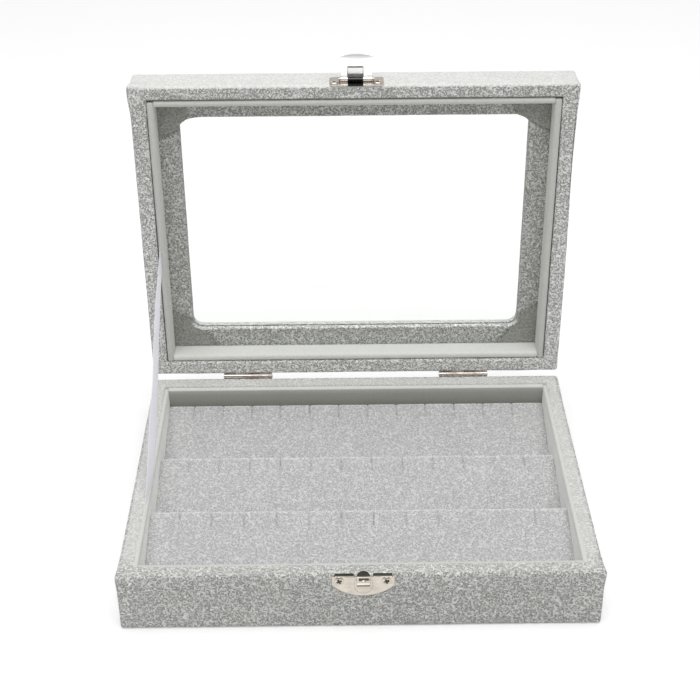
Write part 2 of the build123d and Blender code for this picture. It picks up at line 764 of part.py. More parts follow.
for name, piece in pieces.items():
    piece.part.label = name
    export_step(piece.part, f"parts/{name}.step")
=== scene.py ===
"""Looks of the pin display case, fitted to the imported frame.

They are its velvet wraps, velour liners, slit pads, glass, clasp, hinges and ribbon.
Shapes are worked out in millimetres on grids of points and put into meshes in metres.
The lid is worked out flat, as (x, s, h): s from the hinge side to the front wall,
h from the rim to the outer face."""

import math

import bpy
import numpy as np
from mathutils import Matrix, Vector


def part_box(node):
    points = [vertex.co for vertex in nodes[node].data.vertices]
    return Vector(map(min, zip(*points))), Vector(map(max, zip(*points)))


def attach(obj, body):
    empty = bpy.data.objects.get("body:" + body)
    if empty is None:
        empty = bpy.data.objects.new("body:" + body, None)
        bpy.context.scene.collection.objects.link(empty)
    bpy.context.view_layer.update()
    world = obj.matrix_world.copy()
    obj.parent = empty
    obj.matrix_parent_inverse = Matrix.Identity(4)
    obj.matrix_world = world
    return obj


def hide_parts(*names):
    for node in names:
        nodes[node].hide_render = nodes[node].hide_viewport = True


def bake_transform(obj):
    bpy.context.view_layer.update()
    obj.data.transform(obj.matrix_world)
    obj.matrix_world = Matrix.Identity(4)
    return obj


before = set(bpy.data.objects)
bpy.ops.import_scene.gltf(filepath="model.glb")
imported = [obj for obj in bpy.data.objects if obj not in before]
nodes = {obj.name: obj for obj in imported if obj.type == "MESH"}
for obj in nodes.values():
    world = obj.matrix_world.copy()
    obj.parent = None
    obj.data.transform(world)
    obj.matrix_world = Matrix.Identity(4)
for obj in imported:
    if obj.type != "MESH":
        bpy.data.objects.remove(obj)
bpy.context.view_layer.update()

MM = 0.001
lid_corner = np.array(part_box("lid_velvet")[0]) / MM

# Outside of the case, and the velvet round it
half_w = 100.0
half_d = 75.0
base_h = 27.4
lid_h = 17.4
edge_r = 1.2
pile_t = 0.6
base_rim = 7.0
back_rim = 8.2
lid_rim = 7.0
turn_r = 1.0
turn_in = 12.0

# Window in the lid, as half width, low and high edge
window = (80.0, 20.3, 131.3)
window_corner = 5.0


# ---------------------------------------------------------------- grids


def smooth(t):
    """Rises softly from 0 to 1: three t squared less two t cubed."""
    t = np.clip(t, 0, 1)
    return t * t * (3 - 2 * t)


def run(a, b, count):
    """Straight run of points from a up to, but without, b."""
    t = np.arange(count)[:, None] / count
    return np.array(a, float) * (1 - t) + np.array(b, float) * t


def bend(centre, radius, start, end, count):
    """Arc of points about a centre, from one angle in degrees up to, but without, another."""
    turn = np.radians(start + (end - start) * np.arange(count) / count)
    return np.stack((centre[0] + radius * np.cos(turn), centre[1] + radius * np.sin(turn)), 1)


def contour(half, low, high, corner, side=70, arc=9):
    """Rounded rectangle for each row, from its half width, low and high edge and corner radius.

    Each corner is a quarter circle, and a straight run with closer steps at its ends leads to the next."""
    half, low, high, corner = (
        np.array(a, float)[:, None, None] for a in np.broadcast_arrays(half, low, high, corner)
    )
    turn = np.radians(90 * np.arange(4)[:, None] + np.linspace(0, 90, arc))
    east = np.array((1, -1, -1, 1))[:, None]
    north = np.array((1, 1, -1, -1))[:, None]
    x = east * (half - corner) + corner * np.cos(turn)
    y = np.where(north > 0, high - corner, low + corner) + corner * np.sin(turn)
    i = np.arange(side + 1)
    step = 0.16 + 0.84 * smooth(np.minimum(i, side - i) / 16)
    t = np.cumsum(step)[:-1] / step.sum()
    between = [a[:, :, -1:] * (1 - t) + np.roll(a, -1, 1)[:, :, :1] * t for a in (x, y)]
    return tuple(np.concatenate((a, b), 2).reshape(len(half), -1) for a, b in zip((x, y), between))


def normals(grid, loops):
    """Unit normals of a grid: the cross product of its steps along a row and from row to row."""

    def step(axis):
        if loops[axis]:
            return np.roll(grid, -1, axis) - np.roll(grid, 1, axis)
        return np.gradient(grid, axis=axis)

    n = np.cross(step(1), step(0))
    return n / np.maximum(np.linalg.norm(n, axis=2, keepdims=True), 1e-9)


def ripple(points, length, seed):
    """Soft unevenness between -1 and 1: the mean of nine sine waves of about that length.

    Their directions are fixed by the seed."""
    dice = np.random.default_rng(seed)
    way = dice.normal(size=(9, 3))
    way /= np.linalg.norm(way, axis=1, keepdims=True) * length * dice.uniform(0.6, 1.5, (9, 1))
    return np.sin(2 * np.pi * (points @ way.T + dice.uniform(0, 1, 9))).mean(-1)


def skin(grid, thickness):
    """Closed skin: the grid and the same grid moved in along its normals, joined at both ends."""
    inner = grid - thickness * normals(grid, (False, True))
    return np.concatenate((grid, inner[::-1]))


def both_sides(**marks):
    """Marks of a skin: those of its grid, and the same for its inner side."""
    return {label: np.concatenate((values, values[::-1])) for label, values in marks.items()}


def quads(rows, cols, loops):
    """Faces of a grid: each joins a point to the next in its row and in the next row.

    Where the grid loops, the last joins the first."""
    r, c = np.meshgrid(
        np.arange(rows - (not loops[0])), np.arange(cols - (not loops[1])), indexing="ij"
    )
    up, on = (r + 1) % rows, (c + 1) % cols
    return np.stack((r * cols + c, r * cols + on, up * cols + on, up * cols + c), -1).reshape(-1, 4)


def fans(rows, cols, count):
    """Triangles that close the first and last row of a grid on two poles, which follow its points."""
    c = np.arange(cols)
    on = (c + 1) % cols
    last = (rows - 1) * cols
    first = np.stack((on, c, np.full(cols, count)), 1)
    return np.concatenate((first, np.stack((last + c, last + on, np.full(cols, count + 1)), 1)))


def piece(name, grids, material, body, replaces=(), loops=(True, True), marks=None, uv=None):
    """Mesh of one or several grids of millimetre points, with faces outward and open rows closed on poles.

    Outward means that the sum of each triangle's triple product, six times the volume, is positive."""
    grids = grids if isinstance(grids, list) else [grids]
    points, faces, start = [], [], 0
    for grid in grids:
        rows, cols = grid.shape[:2]
        flat = grid.reshape(-1, 3)
        polygons = [quads(rows, cols, loops)]
        if not loops[0]:
            polygons.append(fans(rows, cols, len(flat)))
            flat = np.concatenate((flat, grid[:1].mean(1), grid[-1:].mean(1)))
        volume = 0
        for p in polygons:
            for a, b in [(1, 2), (2, 3)][: p.shape[1] - 2]:
                volume += np.einsum("ij,ij->", flat[p[:, 0]], np.cross(flat[p[:, a]], flat[p[:, b]]))
        for p in polygons:
            faces += (start + (p if volume > 0 else p[:, ::-1])).tolist()
        points.append(flat)
        start += len(flat)
    mesh = bpy.data.meshes.new(name)
    mesh.from_pydata((np.concatenate(points) * MM).tolist(), [], faces)
    mesh.polygons.foreach_set("use_smooth", np.ones(len(faces), bool))
    for label, values in (marks or {}).items():
        layer = mesh.attributes.new(label, "FLOAT", "POINT")
        layer.data.foreach_set("value", np.resize(values.ravel(), start).astype(np.float32))
    if uv is not None:
        corners = np.empty(len(mesh.loops), np.int32)
        mesh.loops.foreach_get("vertex_index", corners)
        mesh.uv_layers.new(name="cloth").data.foreach_set("uv", uv.reshape(-1, 2)[corners].ravel() * MM)
    mesh.materials.append(material)
    mesh.update()
    thing = bpy.data.objects.new(name, mesh)
    bpy.context.scene.collection.objects.link(thing)
    if body:
        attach(thing, body)
    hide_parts(*replaces)
    return thing


def on_lid(grid):
    """Stands the lid's flat grid up: (x, s, h) becomes (x, rim + h, low edge + s)."""
    return np.stack((grid[..., 0], lid_corner[1] + grid[..., 2], lid_corner[2] + grid[..., 1]), -1)


def bump(x, y, centre, reach):
    """Bell curve of the distance to a point, with its own reach in x and y."""
    return np.exp(-(((x - centre[0]) / reach[0]) ** 2) - ((y - centre[1]) / reach[1]) ** 2)


def patch(x, y, corners, soft):
    """Soft edged patch, 1 inside and 0 outside a convex shape: a smooth step of the distance to its sides.

    The corners go round so that the shape lies at the left of each side."""
    inside = np.full(x.shape, 99.0)
    for (ax, ay), (bx, by) in zip(corners, corners[1:] + corners[:1]):
        length = math.hypot(bx - ax, by - ay)
        inside = np.minimum(inside, ((bx - ax) * (y - ay) - (by - ay) * (x - ax)) / length)
    return smooth(0.5 + inside / soft)


def fill_corners(x, y, out, ovals, where=1.0):
    """Draws an outline's corners in to a quarter oval: points beyond it are scaled back to it about its centre.

    Each oval has its corner and its two half axes; out is how far the outline lies outside of the window,
    and the effect fades with it."""
    flat_x, flat_y = x, y
    for (cx, cy), (a, b) in ovals:
        sx, sy = math.copysign(1, cx), math.copysign(1, cy - half_d)
        u = sx * (x - (cx - sx * a)) / (a + out)
        v = sy * (y - (cy - sy * b)) / (b + out)
        far = np.hypot(np.maximum(u, 1e-6), np.maximum(v, 1e-6))
        back = np.where((u > 0) & (v > 0) & (far > 1), 1 / far, 1.0)
        x = x + (back - 1) * u * (a + out) * sx
        y = y + (back - 1) * v * (b + out) * sy
    near = smooth((8 - out) / 7) * where
    return flat_x + (x - flat_x) * near, flat_y + (y - flat_y) * near


def seam_drop(x, y, corners, width):
    """Share of a fold's depth: a bell curve of the distance to the line from an outer to an inner corner."""
    drop = np.zeros_like(x)
    for (ax, ay), (bx, by) in corners:
        length = math.hypot(bx - ax, by - ay)
        off = ((x - ax) * (by - ay) - (y - ay) * (bx - ax)) / length
        along = ((x - ax) * (bx - ax) + (y - ay) * (by - ay)) / length
        near = (along > -0.5) & (along < length + 0.8)
        drop = np.maximum(drop, np.exp(-((off / width) ** 2)) * near)
    return drop


# ---------------------------------------------------------------- materials


def tone(*colour):
    """Linear colour of a screen colour given as fractions."""
    return tuple(((c + 0.055) / 1.055) ** 2.4 if c > 0.04045 else c / 12.92 for c in colour) + (1.0,)


def add(tree, kind, feeds=None, **settings):
    """Adds a node with its settings, and feeds its inputs from numbers, colours or other nodes' outputs."""
    made = tree.nodes.new("ShaderNode" + kind)
    for key, value in settings.items():
        setattr(made, key, value)
    for key, value in (feeds or {}).items():
        if isinstance(value, bpy.types.NodeSocket):
            tree.links.new(value, made.inputs[key])
        else:
            made.inputs[key].default_value = value
    return made


def group(name, inputs, outputs):
    """Empty shader node group: numbers with their default, and a vector where that is None.

    Returns the tree, its input node's outputs and its output node's inputs."""
    tree = bpy.data.node_groups.new(name, "ShaderNodeTree")
    for label, value in inputs.items():
        kind = "NodeSocketVector" if value is None else "NodeSocketFloat"
        socket = tree.interface.new_socket(label, in_out="INPUT", socket_type=kind)
        if value is not None:
            socket.default_value = value
    for label in outputs:
        tree.interface.new_socket(label, in_out="OUTPUT", socket_type="NodeSocketFloat")
    return tree, tree.nodes.new("NodeGroupInput").outputs, tree.nodes.new("NodeGroupOutput").inputs


def blank(name):
    """Material with an empty node tree; returns the material, its tree and its output's surface."""
    material = bpy.data.materials.new(name)
    material.use_nodes = True
    tree = material.node_tree
    tree.nodes.clear()
    return material, tree, tree.nodes.new("ShaderNodeOutputMaterial").inputs["Surface"]


def ramp(tree, value, stops):
    """Colour ramp through (place, colour) stops."""
    made = add(tree, "ValToRGB", {"Fac": value})
    marks = made.color_ramp.elements
    while len(marks) < len(stops):
        marks.new(0.5)
    for mark, (place, colour) in zip(marks, stops):
        mark.position = place
        mark.color = colour
    return made.outputs["Color"]


def calc(tree, operation, *values, kind="Math"):
    """Math node: one operation on numbers, vectors or other nodes' outputs."""
    return add(tree, kind, dict(enumerate(values)), operation=operation).outputs[0]


def remap(tree, value, into, source=(0.0, 1.0), **how):
    """Map Range node: brings a value from the source's span into another, and keeps it there."""
    feeds = {"From Min": source[0], "From Max": source[1], "To Min": into[0], "To Max": into[1]}
    return add(tree, "MapRange", {"Value": value, **feeds}, **how).outputs[0]


def noise(tree, place, scale, detail, **more):
    """Soft noise at a place, with its other inputs by name."""
    feeds = {"Vector": place, "Scale": scale, "Detail": detail, **more}
    return add(tree, "TexNoise", feeds).outputs["Fac"]


def principled(tree, colour, rough, height, depth, more, strength=1.0):
    """Principled shader with a bump of the given depth in millimetres, and its other inputs by name."""
    bumped = add(tree, "Bump", {"Height": height, "Strength": strength, "Distance": depth * MM})
    feeds = {"Base Color": colour, "Roughness": rough, "Normal": bumped.outputs["Normal"], **more}
    return add(tree, "BsdfPrincipled", feeds).outputs[0]


def crushed_nap():
    """Group for crushed pile: short curling ridges, broad patches and fine fibres, as a shade and a height.

    The ridges are the level lines of a soft noise, the sine of its value times a number of turns,
    broken up by a finer noise."""
    inputs = {"Vector": None, "Size": 1.3, "Crush": 1.0, "Contrast": 0.2}
    tree, have, give = group("crushed nap", inputs, ("Shade", "Height"))
    place = have["Vector"]
    swirl = noise(tree, place, calc(tree, "DIVIDE", 660.0, have["Size"]), 0.5, Distortion=0.4)
    bands = calc(tree, "SINE", calc(tree, "MULTIPLY", swirl, 19.0))
    curls = noise(tree, place, calc(tree, "DIVIDE", 1500.0, have["Size"]), 1.0, Distortion=0.6)
    broken = remap(tree, curls, (-0.5, 0.5), (0.36, 0.64))
    ridge = calc(tree, "MULTIPLY", calc(tree, "MULTIPLY_ADD", bands, 0.58, broken), have["Crush"])
    patches = noise(tree, place, 60.0, 3.0, Roughness=0.6)
    fibres = noise(tree, place, 5200.0, 2.0, Roughness=0.6)
    shade = calc(tree, "MULTIPLY_ADD", ridge, have["Contrast"], 0.5)
    shade = calc(tree, "MULTIPLY_ADD", patches, 0.12, shade)
    shade = calc(tree, "MULTIPLY_ADD", fibres, 0.12, shade)
    tree.links.new(calc(tree, "SUBTRACT", shade, 0.12), give["Shade"])
    tree.links.new(calc(tree, "MULTIPLY_ADD", fibres, 0.25, ridge), give["Height"])
    return tree


def pile_cloth(name, nap_group, dark, light, size, crush, contrast, relief, sheen):
    """Cloth with a pile; crush is a number, or the name of the attribute that says how crushed a place is.

    The attribute lay is painted light and shade: above zero it brightens the colour, below zero it darkens it."""
    material, tree, out = blank(name)
    place = add(tree, "TexCoord").outputs["Object"]
    if isinstance(crush, str):
        crush = add(tree, "Attribute", attribute_name=crush).outputs["Fac"]
    feeds = {"Vector": place, "Size": size, "Crush": crush, "Contrast": contrast}
    pile = add(tree, "Group", feeds, node_tree=nap_group)
    colour = ramp(tree, pile.outputs["Shade"], [(0.0, dark), (1.0, light)])
    lay = add(tree, "Attribute", attribute_name="lay").outputs["Fac"]
    sheer = add(tree, "VectorMath", {0: (1.0, 1.0, 1.06), "Scale": lay}, operation="SCALE").outputs[0]
    toned = calc(tree, "MULTIPLY_ADD", colour, sheer, colour, kind="VectorMath")
    more = {"Specular IOR Level": 0.15, "Sheen Weight": sheen, "Sheen Roughness": 0.35}
    tree.links.new(principled(tree, toned, 0.92, pile.outputs["Height"], relief, more), out)
    return material


def rubbed_metal():
    """Group for plated metal: faint long scratches and a cloudy bloom, as a wear mask and a height."""
    tree, have, give = group("rubbed metal", {"Vector": None, "Scale": 900.0}, ("Wear", "Height"))
    long = add(tree, "Mapping", {"Vector": have["Vector"], "Scale": (0.12, 1.0, 1.0)}).outputs[0]
    lines = noise(tree, long, have["Scale"], 4.0, Roughness=0.65)
    cloud = noise(tree, have["Vector"], 160.0, 3.0, Roughness=0.6)
    both = calc(tree, "MULTIPLY", lines, cloud)
    wear = remap(tree, both, (0.0, 1.0), (0.15, 0.38), interpolation_type="SMOOTHSTEP")
    tree.links.new(wear, give["Wear"])
    tree.links.new(lines, give["Height"])
    return tree


def metal(name, wear_group, clean, rubbed, shine, dull, relief, opening=None):
    """Plated metal: colour and roughness go from clean to rubbed by the wear mask.

    The attribute lay is painted light: it darkens places as painted shade and painted dark reflection and
    brightens them as painted highlights. Or an opening, as the middle and half size of a box in metres, is
    painted dark as a painted dark reflection: the largest of the three distances to its middle, as shares,
    marks it."""
    material, tree, out = blank(name)
    place = add(tree, "TexCoord").outputs["Object"]
    worn = add(tree, "Group", {"Vector": place}, node_tree=wear_group)
    colour = ramp(tree, worn.outputs["Wear"], [(0.0, clean), (1.0, rubbed)])
    if opening:
        share = calc(tree, "SUBTRACT", place, opening[0], kind="VectorMath")
        share = calc(tree, "DIVIDE", share, opening[1], kind="VectorMath")
        share = calc(tree, "ABSOLUTE", share, kind="VectorMath")
        size = add(tree, "SeparateXYZ", {0: share}).outputs
        most = calc(tree, "MAXIMUM", calc(tree, "MAXIMUM", size[0], size[1]), size[2])
        gain = remap(tree, most, (0.03, 1.0), (0.93, 1.04))
    else:
        lay = add(tree, "Attribute", attribute_name="lay").outputs["Fac"]
        gain = calc(tree, "ADD", lay, 1.0)
    toned = add(tree, "VectorMath", {0: colour, "Scale": gain}, operation="SCALE").outputs[0]
    rough = remap(tree, worn.outputs["Wear"], (shine, dull))
    more = {"Metallic": 1.0}
    tree.links.new(principled(tree, toned, rough, worn.outputs["Height"], relief, more), out)
    return material


def plain_board(name, colour, fleck, scale):
    """Pressed paper board or foam: flecked colour with a fine grain."""
    material, tree, out = blank(name)
    place = add(tree, "TexCoord").outputs["Object"]
    grain = noise(tree, place, scale, 5.0, Roughness=0.7)
    colours = ramp(tree, grain, [(0.35, fleck), (0.65, colour)])
    more = {"Specular IOR Level": 0.3}
    tree.links.new(principled(tree, colours, 0.85, grain, 0.1, more, 0.6), out)
    return material


def satin():
    """Satin ribbon: fine threads along and across its length, on the cloth's own map, with a soft shine.

    Half of the light that meets it passes through."""
    material, tree, out = blank("white satin")
    place = add(tree, "UVMap", uv_map="cloth").outputs["UV"]

    def waves(way, scale, distortion, **more):
        feeds = {"Vector": place, "Scale": scale, "Distortion": distortion, "Detail": 2.0, **more}
        return add(tree, "TexWave", feeds, wave_type="BANDS", bands_direction=way).outputs["Fac"]

    threads = waves("X", 700.0, 0.6, **{"Detail Scale": 0.4})
    weave = calc(tree, "MULTIPLY_ADD", waves("Y", 500.0, 1.5), 0.35, threads)
    colours = ramp(tree, weave, [(0.0, tone(0.95, 0.95, 0.965)), (1.0, tone(0.99, 0.985, 1.0))])
    more = {"Specular IOR Level": 0.5, "Sheen Weight": 0.25, "Sheen Roughness": 0.3}
    cloth = principled(tree, colours, 0.38, weave, 0.05, more, 0.5)
    through = add(tree, "BsdfTranslucent", {"Color": tone(0.99, 0.985, 1.0)})
    thin = add(tree, "MixShader", {0: 0.5, 1: cloth, 2: through.outputs[0]})
    tree.links.new(thin.outputs[0], out)
    return material


def pane():
    """Clear glass; light passes it on its way to what lies behind, so it casts no dark shadow."""
    material, tree, out = blank("window glass")
    place = add(tree, "TexCoord").outputs["Object"]
    smear = noise(tree, place, 30.0, 4.0, Roughness=0.6)
    rough = remap(tree, smear, (0.0, 0.02))
    glass = add(
        tree,
        "BsdfPrincipled",
        {"Base Color": tone(0.99, 1.0, 0.99), "Roughness": rough, "Transmission Weight": 1.0, "IOR": 1.5},
    )
    clear = add(tree, "BsdfTransparent", {"Color": (0.97, 0.98, 0.97, 1.0)})
    path = add(tree, "LightPath").outputs
    either = calc(tree, "MAXIMUM", path["Is Shadow Ray"], path["Is Diffuse Ray"])
    mix = add(tree, "MixShader", {0: either, 1: glass.outputs[0], 2: clear.outputs[0]})
    tree.links.new(mix.outputs[0], out)
    return material


nap_group = crushed_nap()
wear_group = rubbed_metal()
velvet = pile_cloth(
    "grey crushed velvet",
    nap_group,
    dark=tone(0.64, 0.642, 0.624),
    light=tone(0.985, 0.987, 0.97),
    size=1.05, crush="nap", contrast=0.72, relief=0.40, sheen=0.7,
)
pad_velvet = pile_cloth(
    "grey pad velvet",
    nap_group,
    dark=tone(0.655, 0.656, 0.656),
    light=tone(0.965, 0.966, 0.966),
    size=1.05, crush=0.6, contrast=0.54, relief=0.30, sheen=0.7,
)
velour = pile_cloth(
    "pale velour",
    nap_group,
    dark=tone(0.70, 0.702, 0.68),
    light=tone(0.95, 0.955, 0.935),
    size=1.0, crush=0.25, contrast=0.25, relief=0.08, sheen=0.5,
)
felt = pile_cloth(
    "grey felt",
    nap_group,
    dark=tone(0.42, 0.43, 0.43),
    light=tone(0.70, 0.71, 0.70),
    size=0.9, crush=0.5, contrast=0.4, relief=0.1, sheen=0.1,
)
board = plain_board("grey board", tone(0.62, 0.60, 0.56), tone(0.48, 0.46, 0.43), 900.0)
foam = plain_board("white foam", tone(0.93, 0.93, 0.91), tone(0.80, 0.80, 0.78), 1500.0)
polish = {"shine": 0.10, "dull": 0.24, "relief": 0.01}
nickel = metal("nickel", wear_group, (0.66, 0.61, 0.535, 1), (0.55, 0.50, 0.44, 1), **polish)
# The flap's nickel is painted brighter than the plate's nickel, as painted light
nickel_painted_bright = metal(
    "nickel painted bright", wear_group, (0.97, 0.965, 0.955, 1), (0.93, 0.92, 0.91, 1), **polish
)
# Clasp plate nickel; a box on it is painted dark as a painted dark reflection, with no opening cut there
clasp_nickel_painted_dark = metal(
    "nickel with a painted dark reflection",
    wear_group,
    (0.66, 0.60, 0.545, 1),
    (0.55, 0.49, 0.45, 1),
    **polish,
    opening=((0.0005, 0.0805, 0.1790), (0.0035, 0.0043, 0.0008)),
)
bronze = metal(
    "worn bronze", wear_group, (0.78, 0.72, 0.68, 1), (0.50, 0.42, 0.37, 1), 0.18, 0.36, 0.02
)
# Pin metal made dark as painted shade, for the pin that sits in shadow under the flap
shaded_pin_steel = metal(
    "pin steel in painted shade", wear_group, (0.11, 0.095, 0.085, 1), (0.07, 0.06, 0.055, 1), 0.3, 0.5, 0.01
)
white_satin = satin()
glass = pane()


# ---------------------------------------------------------------- the base


# How much the rim rises toward the front, and the rounding of the lower edge
rim_swell = 0.6
hem = 1.5


def base_wrap():
    """Velvet of the base: a profile of inset and height, lofted round the plan.

    It goes along the hem, the lower rounding, the wall, the rounded rim and the turn-in."""
    profile = np.concatenate(
        (
            run((3.8, 0), (hem, 0), 5),
            bend((hem, hem), hem, 270, 180, 7),
            run((0, hem), (0, base_h - edge_r), 26),
            bend((edge_r, base_h - edge_r), edge_r, 180, 90, 10),
            run((edge_r, base_h), (base_rim - turn_r, base_h), 7),
            bend((base_rim - turn_r, base_h - turn_r), turn_r, 90, 0, 7),
            run((base_rim, base_h - turn_r), (base_rim, base_h - turn_in), 11),
            [(base_rim, base_h - turn_in)],
        )
    )
    inset, height = profile.T
    top = height > base_h - 13
    extra = (back_rim - base_rim) * np.clip((inset - edge_r) / (base_rim - turn_r - edge_r), 0, 1) * top
    corner = np.where(top, np.maximum(edge_r - 0.3 * inset, 0.6), np.maximum(edge_r - inset, 0.4))
    x, y = contour(half_w - inset, inset - half_d, half_d - inset - extra, corner, side=90)
    z = np.broadcast_to(height[:, None], x.shape)
    corners = [
        ((sx * half_w, sy * half_d), (sx * (half_w - base_rim), sy * (half_d - rim)))
        for sx in (-1, 1)
        for sy, rim in ((-1, base_rim), (1, back_rim))
    ]
    z = z + rim_swell * smooth((8 - y) / 80) * smooth((z - 14) / 10)
    z = z - 0.45 * np.exp(-(((x - 1) / 12) ** 6) - ((y + half_d) / 1.8) ** 2) * smooth((z - 14) / 10)
    rim_top = (height > base_h - 1.2)[:, None]
    z = z - (0.1 + 0.15 * seam_drop(x, y, corners, 0.7)) * rim_top
    grid = np.stack((x, y, z), -1)
    free = np.clip(height / hem, 0, 1)[:, None]
    high = smooth((z - base_h + 9) / 8)
    left, right = (bump(x, y, (side * half_w, -half_d), (4, 4)) for side in (-1, 1))
    flare = (0.35 * left + 0.55 * right) * high
    bow = 0.35 * (np.abs(x) > half_w - edge_r) * smooth((y + half_d) / 20) * smooth((half_d - y) / 30)
    lift = (0.14 * ripple(grid, 38, 1) + 0.07 * ripple(grid, 9, 2) + 0.05 - bow) * free
    grid = grid + normals(grid, (False, True)) * (lift[..., None] + flare[..., None] * (1, 1, 0))
    over = np.interp(inset, (0.7, 1.9), (0, 1))[:, None]
    side = smooth((np.abs(x) - half_w + 9) / 3) * smooth((y + half_d - 3) / 12)
    back = smooth((y - 40) / 30)
    nap = 1 - over * (0.3 + 0.4 * np.maximum(side, back))
    # Painted light in the attribute lay on the rim and the wall, more high up and on the left; painted shade on
    # the back rim's inner edge
    wall = 0.09 + 0.07 * smooth((z - 21) / 6) + 0.04 * smooth((-10 - x) / 40)
    lay = over * (0.12 + 0.02 * back + 0.02 * side) + (1 - over) * wall
    lay = lay - 0.3 * back * np.interp(inset, (base_rim - 1.2, base_rim - 0.4), (0, 1))[:, None]
    return skin(grid, pile_t), both_sides(nap=nap, lay=lay)


grid, marks = base_wrap()
piece("base_velvet_wrap", grid, velvet, "case", ["base_velvet"], marks=marks)


def strip(half, low, high, corner, start, end, seed):
    """Padded strip: a rounded section swept along a straight line, rounded over and closed at both ends.

    Near an end the section shrinks as a quarter circle does; the result is (across, along, up)."""
    length = end - start
    soft = 0.6
    ends = soft * (1 - np.cos(np.linspace(0, np.pi / 2, 6)))
    middle = np.linspace(soft, length - soft, max(int(length / 3), 8))[1:-1]
    along = np.concatenate((ends, middle, length - ends[::-1]))
    near = np.minimum(along, length - along)
    shrink = soft - np.sqrt(np.maximum(soft**2 - np.maximum(soft - near, 0) ** 2, 0))
    a, b = contour(half - shrink, low + shrink, high - shrink, np.maximum(corner - shrink, 0.15), side=7, arc=6)
    grid = np.stack((a, np.broadcast_to((start + along)[:, None], a.shape), b), -1)
    return grid + normals(grid, (False, True)) * (0.06 * ripple(grid, 22, seed) - 0.06)[..., None]


def liner(grid, body, side, lay=None):
    """Velour liner from its closed strip, with painted light and shade in the attribute lay."""
    where = "base" if body == "case" else "lid"
    marks = None if lay is None else {"lay": lay}
    cad_nodes = [f"{where}_liner_{side}"]
    piece(f"{where}_velour_{side}", grid, velour, body, cad_nodes, (False, True), marks)


# Inside of the base, as half width, front and back, and its liners
floor_z = 3.3
hollow = (94.0, -69.0, 66.4)
liner_t = 2.2
liner_top = base_h - 0.4
liner_puff = 0.15
liner_half = liner_t / 2 + liner_puff
# Painted light on the side liners: lit below their top, and a little on it
sides = (("left", -hollow[0] + liner_t / 2, 0.5), ("right", hollow[0] - liner_t / 2, 0.33))
for seed, (side, x, lit) in enumerate(sides):
    grid = strip(liner_half, floor_z, liner_top, 0.8, hollow[1], hollow[2], 10 + seed)
    grid[..., 0] += x
    grid[..., 2] += rim_swell * smooth((8 - grid[..., 1]) / 80) * smooth((grid[..., 2] - 14) / 10)
    liner(grid, "case", side, np.interp(grid[..., 2] - liner_top, (-1.6, -0.5), (lit, 0.08)))
reach = hollow[0] - liner_t
ends = (("front", hollow[1] + liner_t / 2, rim_swell), ("back", hollow[2] - liner_t / 2, 0.7))
for seed, (side, y, swell) in enumerate(ends):
    grid = strip(liner_half, floor_z, liner_top, 0.8, -reach, reach, 12 + seed)
    across, along, up = np.moveaxis(grid, -1, 0)
    up = up + swell * smooth((up - 14) / 10)
    # Painted shade on the back liner, deepest towards its foot, and painted light on its top
    shade = np.interp(up, (17, 20, 25.6, 26.9, 27.3), (-0.66, -0.5, -0.34, -0.2, 0.15)) * (side == "back")
    liner(np.stack((along, y + across, up), -1), "case", side, shade)

# Display pads
tray_front = hollow[1] + liner_t
pad_pitch = (hollow[2] - hollow[1] - 2 * liner_t - 0.1) / 3
pad_half = reach - 0.1
pad_slope = math.radians(14.6)
slit_xs = -1.0 + (np.arange(12) - 5.5) * 14.15
slit_shifts = {"front": 0.3, "middle": 0.6, "back": -0.5}
slit_len = 9.0
slit_depth = 5.0


